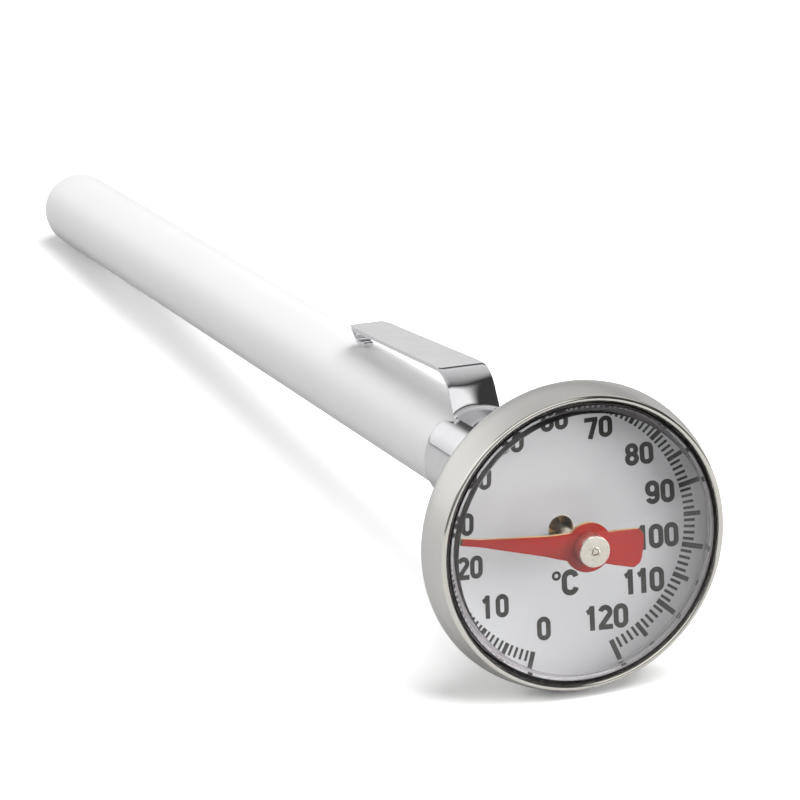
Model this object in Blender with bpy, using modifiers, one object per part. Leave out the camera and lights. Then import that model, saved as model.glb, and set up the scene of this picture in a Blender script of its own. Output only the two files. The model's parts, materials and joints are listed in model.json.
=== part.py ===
"""Dial thermometer with a bimetal stem, a slip-on sheath and a pocket clip.

The head and stem hang on one empty, thermometer_axis, and are drawn in that empty's own frame:
+Z runs from the front rim towards the tip, +X is the reader's right, and -Y is up.
The sheath is loose on the stem and lies slightly askew on it, so it and its clip hang on a second
empty, sheath_axis. Depths are measured from the plane of the front rim. Sizes are in millimetres.
"""

import math

import bmesh
import bpy
from mathutils import Matrix, Vector

MM = 0.001

# Head
RIM_R = 13.0             # crest of the rolled front rim
BEAD_R = 0.3             # round of that rim
CASE_R = 13.93           # widest part of the case
CASE_WIDE_DEPTH = 3.15
CASE_DEPTH = 8.5
CASE_BACK_R = 5.8        # flat seat on the back
CASE_SHEET = 0.4
CASE_HOLE_R = 2.6

# Crystal: an acrylic meniscus that magnifies the dial
CRYSTAL_R = 12.28
CRYSTAL_APEX = -4.45
CRYSTAL_FRONT_CURVE = 19.14
CRYSTAL_INNER_APEX = -1.61
CRYSTAL_BACK_CURVE = 34.2
CRYSTAL_INNER_R = 11.5
CRYSTAL_SHOULDER_R = 12.8
CRYSTAL_SHOULDER_FRONT = 1.45
CRYSTAL_SHOULDER_BACK = 2.2

# Dial
DIAL_R = 12.3
DIAL_FRONT = 4.48
DIAL_SHEET = 0.3
DIAL_HOLE_R = 1.0
SPACER_IN_R = 11.9
SPACER_OUT_R = 12.45
SEAT_IN_R = 10.4
SEAT_OUT_R = 11.5
SEAT_HEIGHT = 0.7

# Scale, which fixes where the pointer rests
DEGREES_PER_DEGREE_C = 2.687
SCALE_MIDDLE_C = 60.0
DIAL_TURN = -3.6         # 12 o'clock of the dial, clockwise from the top of the case
REST_READING_C = 31.25

# Pointer and its hub
POINTER_FRONT = -0.13
POINTER_SHEET = 0.3
POINTER_DISC_R = 2.05
POINTER_TIP_R = 11.3
POINTER_TAIL_R = 4.75
POINTER_DROP = 0.95      # how far the arm is bent towards the dial at its tip
HUB_R = 1.3
HUB_FRONT = -1.28
HUB_NECK_R = 0.85
HUB_BACK = 1.0

# Stem and what it holds
SPINDLE_R = 0.38
SPINDLE_BORE_R = 0.5
STEM_R = 1.85
STEM_BORE_R = 1.6
STEM_FRONT = 6.1
STEM_BACK = 142.0
PLUG_FIT_R = 1.5         # pieces that sit inside the stem tube
COIL_FRONT = 100.0
COIL_BACK = 136.0
COIL_MEAN_R = 1.08
COIL_WIRE_R = 0.14
COIL_TURNS = 24
NUT_FRONT = 9.4
NUT_BACK = 12.4
NUT_ACROSS_FLATS = 7.0

# Sheath and clip
SHEATH_MOUTH = 13.0
SHEATH_TIP = 152.0
SHEATH_MOUTH_R = 4.31
SHEATH_TIP_R = 4.28
SHEATH_BORE_R = 3.5
SHEATH_BORE_TIP_R = 3.4
SHEATH_LOOSE_AT = (13.0, 140.0)                      # depths where the sheath's play is stated
SHEATH_PLAY = ((0.745, -0.995), (-0.751, 0.944))     # how far its axis stands off the stem's there
BAND_FRONT = 15.0
BAND_BACK = 27.0
BAND_BORE_R = 4.42
BAND_R = 4.84
BAND_SLIT = 0.8
CLIP_SHEET = 0.42
CLIP_ROOT_WIDTH = 4.56
CLIP_END_WIDTH = 3.84
CLIP_POST = (             # middle line of the post: depth, height above the sheath's axis
    (24.8, 4.59),
    (25.5, 4.89),
    (26.1, 5.5),
    (27.25, 7.4),
    (27.7, 7.95),
    (28.5, 8.09),
)
CLIP_END_DEPTH = 53.2     # where the arm starts to curl down
CLIP_END_HEIGHT = 6.54
CLIP_TOUCH_HEIGHT = 4.64
CLIP_CURL_STOPS = -100.0  # angle at which the curl ends; the arm comes in at a quarter turn

FIT_GAP = 0.1            # between pieces that touch or are pressed together
HALF_ROUND = 180.0

# Sides of the round pieces. Each leaves a quarter over, so a flat lies at the very bottom.
BIG_SIDES = 42
SHEATH_SIDES = 42
SMALL_SIDES = 22
TINY_SIDES = 14


def clear_scene():
    for obj in list(bpy.data.objects):
        bpy.data.objects.remove(obj, do_unlink=True)


def make_collection(name):
    collection = bpy.data.collections.new(name)
    bpy.context.scene.collection.children.link(collection)
    return collection


def make_material(name, colour, roughness, metallic=0.0, transmission=0.0):
    material = bpy.data.materials.new(name)
    material.use_nodes = True
    shader = material.node_tree.nodes["Principled BSDF"]
    shader.inputs["Base Color"].default_value = (*colour, 1.0)
    shader.inputs["Roughness"].default_value = roughness
    shader.inputs["Metallic"].default_value = metallic
    shader.inputs["Transmission Weight"].default_value = transmission
    return material


def arc(centre_r, centre_z, radius, start, end, steps):
    """Points on a circle in the (r, z) half-plane; 0 degrees points outwards and 90 to the tip."""
    points = []
    for i in range(steps + 1):
        angle = math.radians(start + (end - start) * i / steps)
        points.append((centre_r + radius * math.cos(angle), centre_z + radius * math.sin(angle)))
    return points


def dome(apex_z, curve_r, rim_r, steps):
    """A spherical face from the axis out to rim_r, with its apex towards the reader."""
    points = []
    for i in range(steps + 1):
        r = rim_r * i / steps
        points.append((r, apex_z + curve_r - math.sqrt(curve_r**2 - r**2)))
    return points


def box_profile(inner_r, outer_r, front, back):
    return [(inner_r, front), (outer_r, front), (outer_r, back), (inner_r, back)]


def askew():
    """The sheath's frame inside the stem's: the line through its two offsets, with X kept level."""
    near, far = [Vector((x, y, z)) for (x, y), z in zip(SHEATH_PLAY, SHEATH_LOOSE_AT)]
    tip_way = (far - near).normalized()
    start = near - tip_way * (near.z / tip_way.z)
    across = Vector((1, 0, 0)) - tip_way * tip_way.x
    across.normalize()
    frame = Matrix((across, tip_way.cross(across), tip_way)).transposed().to_4x4()
    frame.translation = start * MM
    return frame


class Builder:
    """Makes named pieces on one axis and puts them in their collections."""

    def __init__(self):
        self.parts = make_collection("dial_thermometer")
        self.cutters = make_collection("cutters")
        self.stem_axis = bpy.data.objects.new("thermometer_axis", None)
        self.parts.objects.link(self.stem_axis)
        self.sheath_axis = bpy.data.objects.new("sheath_axis", None)
        self.parts.objects.link(self.sheath_axis)
        self.sheath_axis.parent = self.stem_axis
        self.sheath_axis.matrix_local = askew()
        self.axis = self.stem_axis

    def place(self, name, mesh, material):
        obj = bpy.data.objects.new(name, mesh)
        obj.parent = self.axis
        if material is None:
            self.cutters.objects.link(obj)
            obj.hide_render = True
            obj.display_type = "WIRE"
        else:
            mesh.materials.append(material)
            self.parts.objects.link(obj)
        return obj

    def turned(self, name, profile, sides, material=None):
        """A profile of (radius, depth) points spun round the axis.

        A profile that starts and ends on the axis stays open there; any other is a closed ring.
        """
        points = [Vector((r * MM, 0.0, z * MM)) for r, z in profile]
        solid = profile[0][0] == 0.0 and profile[-1][0] == 0.0
        area = 0.0
        for (r0, z0), (r1, z1) in zip(profile, profile[1:] + profile[:1]):
            area += r0 * z1 - r1 * z0
        if area > 0.0:
            points.reverse()
        count = len(points)
        edges = [(i, i + 1) for i in range(count - 1)]
        if not solid:
            edges.append((count - 1, 0))
        mesh = bpy.data.meshes.new(name)
        mesh.from_pydata(points, edges, [])
        obj = self.place(name, mesh, material)
        screw = obj.modifiers.new("turn", "SCREW")
        screw.steps = sides
        screw.render_steps = sides
        screw.use_merge_vertices = True
        screw.merge_threshold = 0.00001
        screw.use_smooth_shade = True
        return obj

    def disc(self, name, radius, front, back, sides, material=None):
        profile = [(0.0, front), (radius, front), (radius, back), (0.0, back)]
        return self.turned(name, profile, sides, material)

    def ring(self, name, inner_r, outer_r, front, back, sides, material):
        return self.turned(name, box_profile(inner_r, outer_r, front, back), sides, material)

    def combine(self, target, other, operation):
        boolean = target.modifiers.new(operation.lower(), "BOOLEAN")
        boolean.operation = operation
        boolean.object = other
        boolean.solver = "EXACT"


def mesh_from_curve(curve_obj, name):
    """The curve's solid as a mesh with its caps welded on; the curve itself is removed."""
    graph = bpy.context.evaluated_depsgraph_get()
    mesh = bpy.data.meshes.new_from_object(curve_obj.evaluated_get(graph))
    mesh.name = name
    cage = bmesh.new()
    cage.from_mesh(mesh)
    bmesh.ops.remove_doubles(cage, verts=cage.verts, dist=0.000001)
    bmesh.ops.recalc_face_normals(cage, faces=cage.faces)
    cage.to_mesh(mesh)
    cage.free()
    bpy.data.objects.remove(curve_obj, do_unlink=True)
    return mesh


def outline_mesh(name, outline, thickness):
    """A flat closed outline in XY, extruded to the given thickness about z = 0. Millimetres."""
    curve = bpy.data.curves.new(name, "CURVE")
    curve.dimensions = "2D"
    curve.fill_mode = "BOTH"
    curve.extrude = thickness / 2 * MM
    spline = curve.splines.new("POLY")
    spline.points.add(len(outline) - 1)
    for point, (x, y) in zip(spline.points, outline):
        point.co = (x * MM, y * MM, 0.0, 1.0)
    spline.use_cyclic_u = True
    obj = bpy.data.objects.new(name, curve)
    bpy.context.scene.collection.objects.link(obj)
    return mesh_from_curve(obj, name)


# ---------------------------------------------------------------- head


def case_outline():
    """The outside of the case, from the rolled rim round to the hole in its back."""
    rim_centre_z = BEAD_R
    rim = arc(RIM_R, rim_centre_z, BEAD_R, 180.0, 340.0, 6)
    flank_start = rim[-1]
    flank = []
    flank_steps = 4
    for i in range(1, flank_steps + 1):
        t = i / flank_steps
        swell = math.sin(t * math.pi / 2)
        r = flank_start[0] + (CASE_R - flank_start[0]) * swell
        z = flank_start[1] + (CASE_WIDE_DEPTH - flank_start[1]) * t
        flank.append((r, z))
    bowl_r, bowl_z, start = bowl_arc()
    bowl = arc(CASE_BACK_R, bowl_z, bowl_r, start, 90.0, 8)
    return rim + flank + bowl + [(CASE_HOLE_R, CASE_DEPTH)]


def bowl_arc():
    """Radius, centre depth and start angle of the bowl that joins the case side to its flat back."""
    edge_r = CASE_R - 0.09
    edge_z = CASE_WIDE_DEPTH + 0.4
    run = edge_r - CASE_BACK_R
    rise = CASE_DEPTH - edge_z
    radius = (run**2 + rise**2) / (2 * rise)
    centre_z = CASE_DEPTH - radius
    start = math.degrees(math.atan2(edge_z - centre_z, run))
    return radius, centre_z, start


def case_inside():
    """The inside of the case, from the hole in its back forward to the underside of the rim."""
    bowl_r, bowl_z, start = bowl_arc()
    bowl = arc(CASE_BACK_R, bowl_z, bowl_r - CASE_SHEET, 90.0, start, 6)
    side = [
        (CASE_R - CASE_SHEET, CASE_WIDE_DEPTH),
        (CASE_R - CASE_SHEET - 0.35, CASE_WIDE_DEPTH / 2),
        (RIM_R + BEAD_R - 0.2, 2 * BEAD_R + 0.2),
        (RIM_R - BEAD_R, 2 * BEAD_R + 0.2),
    ]
    return [(CASE_HOLE_R, CASE_DEPTH - CASE_SHEET)] + bowl + side


def build_head(b, steel, rubber, acrylic, dial_metal):
    b.turned("case_shell", case_outline() + case_inside(), BIG_SIDES, steel)

    front = dome(CRYSTAL_APEX, CRYSTAL_FRONT_CURVE, CRYSTAL_R, 8)
    back = dome(CRYSTAL_INNER_APEX, CRYSTAL_BACK_CURVE, CRYSTAL_INNER_R, 6)
    shoulder = [
        (CRYSTAL_R, CRYSTAL_SHOULDER_FRONT),
        (CRYSTAL_SHOULDER_R, CRYSTAL_SHOULDER_FRONT),
        (CRYSTAL_SHOULDER_R, CRYSTAL_SHOULDER_BACK),
        (CRYSTAL_INNER_R + FIT_GAP, CRYSTAL_SHOULDER_BACK),
    ]
    b.turned("crystal", front + shoulder + back[::-1], BIG_SIDES, acrylic)

    b.ring("crystal_gasket", CRYSTAL_R + 0.08, RIM_R - BEAD_R - 0.06,
           BEAD_R + 0.05, CRYSTAL_SHOULDER_FRONT - FIT_GAP, BIG_SIDES, rubber)

    dial_back = DIAL_FRONT + DIAL_SHEET
    b.ring("dial_spacer_ring", SPACER_IN_R, SPACER_OUT_R,
           CRYSTAL_SHOULDER_BACK + FIT_GAP, DIAL_FRONT - FIT_GAP, BIG_SIDES, steel)
    b.ring("dial_plate", DIAL_HOLE_R, DIAL_R, DIAL_FRONT, dial_back, BIG_SIDES, dial_metal)
    b.ring("dial_seat_ring", SEAT_IN_R, SEAT_OUT_R, dial_back + FIT_GAP,
           dial_back + FIT_GAP + SEAT_HEIGHT, BIG_SIDES, steel)

    seal_middle = (CASE_DEPTH + NUT_FRONT) / 2
    seal_r = (NUT_FRONT - CASE_DEPTH) / 2 - FIT_GAP
    seal = arc(CASE_HOLE_R + 0.7, seal_middle, seal_r, 0.0, 315.0, 7)
    b.turned("case_seal", seal, SMALL_SIDES, rubber)


# ---------------------------------------------------------------- stem


def friction_washer_mesh(inner_r, outer_r, front, sheet, wave, waves, sides):
    """A thin spring washer whose ring rises and falls as it goes round."""
    cage = bmesh.new()
    corners = [(inner_r, front), (outer_r, front), (outer_r, front + sheet), (inner_r, front + sheet)]
    verts = [cage.verts.new((r * MM, 0.0, z * MM)) for r, z in corners]
    edges = [cage.edges.new((verts[i], verts[(i + 1) % len(verts)])) for i in range(len(verts))]
    bmesh.ops.spin(cage, geom=edges, cent=(0, 0, 0), axis=(0, 0, 1), angle=math.tau,
                   steps=sides, use_merge=True)
    bmesh.ops.remove_doubles(cage, verts=cage.verts, dist=0.000001)
    for vert in cage.verts:
        vert.co.z += wave * MM * math.cos(waves * math.atan2(vert.co.y, vert.co.x))
    bmesh.ops.recalc_face_normals(cage, faces=cage.faces)
    mesh = bpy.data.meshes.new("friction_washer")
    cage.to_mesh(mesh)
    cage.free()
    return mesh


def build_nut(b, steel):
    """A hexagon with chamfered corners and a bore for the stem."""
    corner_r = NUT_ACROSS_FLATS / math.sqrt(3.0)
    height = NUT_BACK - NUT_FRONT
    mesh = bpy.data.meshes.new("calibration_nut")
    cage = bmesh.new()
    bmesh.ops.create_cone(cage, cap_ends=True, segments=6, radius1=corner_r * MM,
                          radius2=corner_r * MM, depth=height * MM,
                          matrix=Matrix.Translation((0, 0, (NUT_FRONT + height / 2) * MM)))
    cage.to_mesh(mesh)
    cage.free()
    nut = b.place("calibration_nut", mesh, steel)

    chamfer = 0.35
    limit = [
        (0.0, NUT_FRONT - 1.0),
        (corner_r - chamfer - 1.0, NUT_FRONT - 1.0),
        (corner_r + 1.0, NUT_FRONT + chamfer + 0.8),
        (corner_r + 1.0, NUT_BACK + 1.0),
        (0.0, NUT_BACK + 1.0),
    ]
    b.combine(nut, b.turned("nut_chamfer", limit, SMALL_SIDES), "INTERSECT")
    bore_r = STEM_R + FIT_GAP
    b.combine(nut, b.disc("nut_bore", bore_r, NUT_FRONT - 1.0, NUT_BACK + 1.0, SMALL_SIDES), "DIFFERENCE")


def build_stem(b, steel, brass):
    b.ring("stem_tube", STEM_BORE_R, STEM_R, STEM_FRONT, STEM_BACK, SMALL_SIDES, steel)

    collar_in_r = STEM_R + FIT_GAP
    collar_out_r = 4.4
    washer_sheet = 0.2
    washer_wave = 0.08
    washer_front = CASE_DEPTH - CASE_SHEET - washer_sheet - washer_wave - FIT_GAP
    collar_back = washer_front - washer_wave - FIT_GAP
    b.ring("stem_collar", collar_in_r, collar_out_r, collar_back - 0.8, collar_back, SMALL_SIDES, brass)
    washer = friction_washer_mesh(collar_in_r + FIT_GAP, collar_out_r, washer_front,
                                  washer_sheet, washer_wave, 3, 36)
    b.place("friction_washer", washer, steel)
    build_nut(b, steel)

    flange = 0.45
    guide_depth = 3.0
    upper = [
        (SPINDLE_BORE_R, STEM_FRONT - FIT_GAP - flange),
        (STEM_R, STEM_FRONT - FIT_GAP - flange),
        (STEM_R, STEM_FRONT - FIT_GAP),
        (PLUG_FIT_R, STEM_FRONT - FIT_GAP),
        (PLUG_FIT_R, STEM_FRONT + guide_depth),
        (SPINDLE_BORE_R, STEM_FRONT + guide_depth),
    ]
    b.turned("upper_bush", upper, SMALL_SIDES, brass)
    middle = 60.0
    b.ring("middle_bush", SPINDLE_BORE_R, PLUG_FIT_R, middle, middle + guide_depth, SMALL_SIDES, brass)

    anchor_front = COIL_BACK + COIL_WIRE_R + 0.3
    b.disc("coil_anchor", PLUG_FIT_R, anchor_front, anchor_front + 2.0, SMALL_SIDES, brass)

    spigot = 1.5
    plug = [(0.0, STEM_BACK - spigot), (PLUG_FIT_R, STEM_BACK - spigot), (PLUG_FIT_R, STEM_BACK + FIT_GAP)]
    plug += arc(0.0, STEM_BACK + FIT_GAP, STEM_R, 0.0, 90.0, 5)[:-1]
    plug += [(0.0, STEM_BACK + FIT_GAP + STEM_R)]
    b.turned("tip_plug", plug, SMALL_SIDES, steel)


# ---------------------------------------------------------------- movement


def pointer_turn():
    """Angle of the pointer at rest, clockwise from the top of the case, in degrees."""
    return DIAL_TURN + (REST_READING_C - SCALE_MIDDLE_C) * DEGREES_PER_DEGREE_C


def pointer_outline():
    """The pointer seen from the front with its tip up, which is -Y: arm, hub disc and flared tail."""
    arm_half = [(0.30, POINTER_TIP_R), (0.33, POINTER_TIP_R - 1.9), (0.85, 3.6), (1.05, 2.4)]
    tail_half = [(1.2, 1.9), (1.42, POINTER_TAIL_R - 0.55)]
    join_up = math.degrees(math.asin(1.15 / POINTER_DISC_R))
    join_down = HALF_ROUND - math.degrees(math.asin(1.18 / POINTER_DISC_R))
    right = [(x, -y) for x, y in arm_half]
    steps = 6
    for i in range(steps + 1):
        angle = math.radians(join_up + (join_down - join_up) * i / steps)
        right.append((POINTER_DISC_R * math.sin(angle), -POINTER_DISC_R * math.cos(angle)))
    right += list(tail_half)
    tail_round = [(1.15, POINTER_TAIL_R - 0.2), (0.6, POINTER_TAIL_R)]
    right += tail_round
    left = [(-x, y) for x, y in reversed(right)]
    return right + left


def bend_arm(mesh):
    """Bends the arm towards the dial beyond the hub disc."""
    bend_at = -(POINTER_DISC_R + 0.6) * MM
    cage = bmesh.new()
    cage.from_mesh(mesh)
    geometry = cage.verts[:] + cage.edges[:] + cage.faces[:]
    bmesh.ops.bisect_plane(cage, geom=geometry, dist=0.0000001, plane_co=(0, bend_at, 0),
                           plane_no=(0, 1, 0))
    slope = POINTER_DROP * MM / (POINTER_TIP_R * MM + bend_at)
    for vert in cage.verts:
        if vert.co.y < bend_at:
            vert.co.z += (bend_at - vert.co.y) * slope
    bmesh.ops.triangulate(cage, faces=cage.faces)
    cage.to_mesh(mesh)
    cage.free()


def build_pointer(b, red, nickel):
    mesh = outline_mesh("pointer", pointer_outline(), POINTER_SHEET)
    mesh.transform(Matrix.Translation((0, 0, (POINTER_FRONT + POINTER_SHEET / 2) * MM)))
    bend_arm(mesh)
    pointer = b.place("pointer", mesh, red)
    hole_r = HUB_NECK_R + FIT_GAP
    b.combine(pointer, b.disc("pointer_hole", hole_r, -2.0, 2.0, SMALL_SIDES), "DIFFERENCE")
    pointer.rotation_euler.z = math.radians(pointer_turn())

    hub = [
        (SPINDLE_R + FIT_GAP, HUB_FRONT),
        (HUB_R, HUB_FRONT),
        (HUB_R, POINTER_FRONT - 0.05),
        (HUB_NECK_R, POINTER_FRONT - 0.05),
        (HUB_NECK_R, HUB_BACK),
        (SPINDLE_R + FIT_GAP, HUB_BACK),
    ]
    b.turned("pointer_hub", hub, SMALL_SIDES, nickel)


def build_movement(b, red, nickel, steel, brass, bimetal):
    build_pointer(b, red, nickel)
    collar_front = COIL_FRONT - COIL_WIRE_R - 0.2 - 2.0
    b.disc("spindle", SPINDLE_R, HUB_FRONT + 0.05, collar_front + 1.0, TINY_SIDES, steel)
    collar = [
        (SPINDLE_R + FIT_GAP, collar_front),
        (0.95, collar_front),
        (0.95, collar_front + 2.0),
        (0.0, collar_front + 2.0),
        (0.0, collar_front + 1.2),
        (SPINDLE_R + FIT_GAP, collar_front + 1.2),
    ]
    b.turned("coil_collar", rotated_to_axis(collar), TINY_SIDES, brass)

    curve = bpy.data.curves.new("bimetal_coil", "CURVE")
    curve.dimensions = "3D"
    curve.bevel_depth = COIL_WIRE_R * MM
    curve.bevel_resolution = 0
    curve.use_fill_caps = True
    per_turn = 12
    count = COIL_TURNS * per_turn
    spline = curve.splines.new("POLY")
    spline.points.add(count)
    for i, point in enumerate(spline.points):
        angle = math.tau * i / per_turn
        z = COIL_FRONT + (COIL_BACK - COIL_FRONT) * i / count
        point.co = (COIL_MEAN_R * math.cos(angle) * MM, COIL_MEAN_R * math.sin(angle) * MM, z * MM, 1.0)
    obj = bpy.data.objects.new("bimetal_coil", curve)
    bpy.context.scene.collection.objects.link(obj)
    b.place("bimetal_coil", mesh_from_curve(obj, "bimetal_coil"), bimetal)


def rotated_to_axis(profile):
    """The same closed profile, started so that its two axis points come first and last."""
    on_axis = [i for i, (r, _) in enumerate(profile) if r == 0.0]
    start = max(on_axis)
    return profile[start:] + profile[:start]


# ---------------------------------------------------------------- sheath and clip


def build_sheath(b, plastic):
    tip_centre = SHEATH_TIP - SHEATH_TIP_R
    bore_end = tip_centre - 1.0
    lip = 0.25
    outside = [(SHEATH_MOUTH_R - lip, SHEATH_MOUTH), (SHEATH_MOUTH_R, SHEATH_MOUTH + lip)]
    outside += arc(0.0, tip_centre, SHEATH_TIP_R, 0.0, 90.0, 6)[:-1]
    outside += [(0.0, SHEATH_TIP)]
    bore = [(0.0, bore_end + SHEATH_BORE_TIP_R)]
    bore += arc(0.0, bore_end, SHEATH_BORE_TIP_R, 90.0, 0.0, 4)[1:]
    bore += [(SHEATH_BORE_R, SHEATH_MOUTH + lip), (SHEATH_BORE_R + lip, SHEATH_MOUTH)]
    profile = bore[1:] + outside
    profile = [bore[0]] + profile
    b.turned("sheath_tube", profile, SHEATH_SIDES, plastic)


def clip_path():
    """Middle line of the clip's strip, as (depth, height above the sheath's axis)."""
    curl_r = (CLIP_END_HEIGHT - CLIP_TOUCH_HEIGHT) / 2
    curl = arc(CLIP_END_DEPTH, CLIP_TOUCH_HEIGHT + curl_r, curl_r, 90.0, CLIP_CURL_STOPS, 7)
    return list(CLIP_POST) + curl


def strip_outline(path, sheet):
    """The two sides of a strip of even thickness that follows the path."""
    upper = []
    lower = []
    for i, (z, h) in enumerate(path):
        before = path[max(i - 1, 0)]
        after = path[min(i + 1, len(path) - 1)]
        along = Vector((after[0] - before[0], after[1] - before[1])).normalized()
        out = Vector((-along.y, along.x)) * (sheet / 2)
        upper.append((z + out.x, h + out.y))
        lower.append((z - out.x, h - out.y))
    return upper + lower[::-1]


def clip_strip_mesh():
    """The strip of the clip, drawn from the side, widened across X and tapered to its end."""
    outline = strip_outline(clip_path(), CLIP_SHEET)
    mesh = outline_mesh("clip_strip", outline, CLIP_ROOT_WIDTH)
    stand_up = Matrix(((0, 0, 1, 0), (0, -1, 0, 0), (1, 0, 0, 0), (0, 0, 0, 1)))
    mesh.transform(stand_up)
    length = CLIP_END_DEPTH - BAND_BACK
    for vert in mesh.vertices:
        along = min(1.0, max(0.0, vert.co.z / MM - BAND_BACK) / length)
        vert.co.x *= 1.0 - along * (1.0 - CLIP_END_WIDTH / CLIP_ROOT_WIDTH)
    return mesh


def build_clip(b, chrome):
    clip = b.disc("pocket_clip", BAND_R, BAND_FRONT, BAND_BACK, SHEATH_SIDES, chrome)
    strip_mesh = clip_strip_mesh()
    b.combine(clip, b.place("clip_strip", strip_mesh, None), "UNION")
    bore = b.disc("clip_bore", BAND_BORE_R, BAND_FRONT - 1.0, BAND_BACK + 1.0, SHEATH_SIDES)
    b.combine(clip, bore, "DIFFERENCE")
    slit_mesh = bpy.data.meshes.new("clip_slit")
    cage = bmesh.new()
    length = BAND_BACK - BAND_FRONT + 2.0
    size = Matrix.Diagonal((BAND_SLIT * MM, 2.0 * MM, length * MM, 1.0))
    middle = Matrix.Translation((0, BAND_R * MM, (BAND_FRONT + BAND_BACK) / 2 * MM))
    bmesh.ops.create_cube(cage, size=1.0, matrix=middle @ size)
    cage.to_mesh(slit_mesh)
    cage.free()
    b.combine(clip, b.place("clip_slit", slit_mesh, None), "DIFFERENCE")


# ---------------------------------------------------------------- whole object


def lay_down(b):
    """Lays the thermometer on its rim and the end of its sheath, centred over the origin."""
    sheath_round_z = SHEATH_TIP - SHEATH_TIP_R
    run = sheath_round_z - CASE_WIDE_DEPTH
    case_low = CASE_R * math.cos(math.pi / BIG_SIDES)
    sheath_low = (askew() @ Vector((0, 0, sheath_round_z * MM))).y / MM + SHEATH_TIP_R
    lean = math.asin((case_low - sheath_low) / run)
    b.stem_axis.rotation_euler.x = -(math.pi / 2 + lean)
    bpy.context.view_layer.update()
    graph = bpy.context.evaluated_depsgraph_get()
    low = Vector((math.inf,) * 3)
    high = -low
    for obj in b.parts.objects:
        if obj.type != "MESH":
            continue
        solid = obj.evaluated_get(graph)
        mesh = solid.to_mesh()
        for vert in mesh.vertices:
            point = solid.matrix_world @ vert.co
            low = Vector(map(min, low, point))
            high = Vector(map(max, high, point))
        solid.to_mesh_clear()
    b.stem_axis.location = (-(low.x + high.x) / 2, -(low.y + high.y) / 2, -low.z)


def main():
    clear_scene()
    b = Builder()
    steel = make_material("satin_steel", (0.72, 0.71, 0.69), 0.3, 1.0)
    bright = make_material("chrome_clip", (0.85, 0.85, 0.86), 0.06, 1.0)
    brass = make_material("brass", (0.78, 0.6, 0.3), 0.3, 1.0)
    nickel = make_material("pale_nickel", (0.86, 0.82, 0.72), 0.25, 1.0)
    bimetal = make_material("bimetal", (0.6, 0.55, 0.48), 0.35, 1.0)
    dial_metal = make_material("dial_silver", (0.74, 0.74, 0.75), 0.45, 0.6)
    rubber = make_material("black_rubber", (0.02, 0.02, 0.02), 0.6)
    acrylic = make_material("clear_acrylic", (0.97, 0.98, 0.98), 0.02, 0.0, 1.0)
    red = make_material("red_enamel", (0.62, 0.06, 0.04), 0.35)
    plastic = make_material("white_plastic", (0.86, 0.86, 0.85), 0.3)

    build_head(b, steel, rubber, acrylic, dial_metal)
    build_stem(b, steel, brass)
    build_movement(b, red, nickel, steel, brass, bimetal)
    b.axis = b.sheath_axis
    build_sheath(b, plastic)
    build_clip(b, bright)
    lay_down(b)


main()
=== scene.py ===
"""Looks for the dial thermometer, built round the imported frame.

Every new piece is drawn in millimetres in the thermometer's own frame and then placed:
+Z runs from the front rim towards the tip, +X is the reader's right, and -Y is up.
Depths are measured from the plane of the front rim. The loose sheath lies slightly askew on the
stem, so it and its clip are drawn in a second frame of their own.
"""

import json
import math

import bmesh
import bpy
from mathutils import Matrix, Vector


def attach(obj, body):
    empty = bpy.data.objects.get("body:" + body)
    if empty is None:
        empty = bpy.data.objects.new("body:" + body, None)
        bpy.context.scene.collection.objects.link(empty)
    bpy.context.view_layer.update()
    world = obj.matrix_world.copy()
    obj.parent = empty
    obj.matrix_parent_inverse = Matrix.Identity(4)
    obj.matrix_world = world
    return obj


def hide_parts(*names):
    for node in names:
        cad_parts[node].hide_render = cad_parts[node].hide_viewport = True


MM = 0.001

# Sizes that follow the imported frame, in millimetres
RIM_R = 13.0
BEAD_R = 0.3
CASE_R = 13.89
CASE_WIDE_DEPTH = 3.15
CASE_DEPTH = 8.5
CASE_BACK_R = 5.8
CASE_SHEET = 0.4
CASE_HOLE_R = 2.6
CRYSTAL_R = 12.28
CRYSTAL_APEX = -4.45
CRYSTAL_FRONT_CURVE = 19.14
CRYSTAL_INNER_APEX = -1.61
CRYSTAL_BACK_CURVE = 34.2
CRYSTAL_INNER_R = 11.5
CRYSTAL_SHOULDER_R = 12.8
CRYSTAL_SHOULDER_FRONT = 1.45
CRYSTAL_SHOULDER_BACK = 2.2
DIAL_R = 12.3
DIAL_FRONT = 4.48
DIAL_SHEET = 0.3
DIAL_HOLE_R = 1.0
SPACER_IN_R = 11.9
SPACER_OUT_R = 12.45
POINTER_FRONT = -0.13
POINTER_SHEET = 0.3
POINTER_DISC_R = 2.05
POINTER_TIP_R = 11.12
POINTER_TAIL_R = 4.75
POINTER_DROP = 0.95
HUB_R = 1.3
HUB_FRONT = -1.28
HUB_NECK_R = 0.85
HUB_BACK = 1.0
SPINDLE_R = 0.38
STEM_R = 1.84
STEM_BORE_R = 1.6
STEM_FRONT = 6.1
STEM_BACK = 142.0
SHEATH_MOUTH = 13.0
SHEATH_TIP = 151.98
SHEATH_MOUTH_R = 4.29
SHEATH_TIP_R = 4.26
SHEATH_BORE_R = 3.5
SHEATH_BORE_TIP_R = 3.4
BAND_FRONT = 15.0
BAND_BACK = 27.0
BAND_MIDDLE_R = 4.62
BAND_SLIT = 0.8
CLIP_SHEET = 0.38
CLIP_ROOT_WIDTH = 4.56
CLIP_END_WIDTH = 3.84

# The scale
FIRST_C = 0
LAST_C = 120
DEGREES_PER_DEGREE_C = 2.687
SCALE_MIDDLE_C = 60
DIAL_TURN = -3.6
REST_READING_C = 30.75
TICK_IN_R = 9.9
TICK_OUT_R = {10: 11.81, 5: 11.35, 1: 10.85}
TICK_WIDTH = {10: 0.4, 5: 0.36, 1: 0.22}
NUMERAL_R = 8.2
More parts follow.
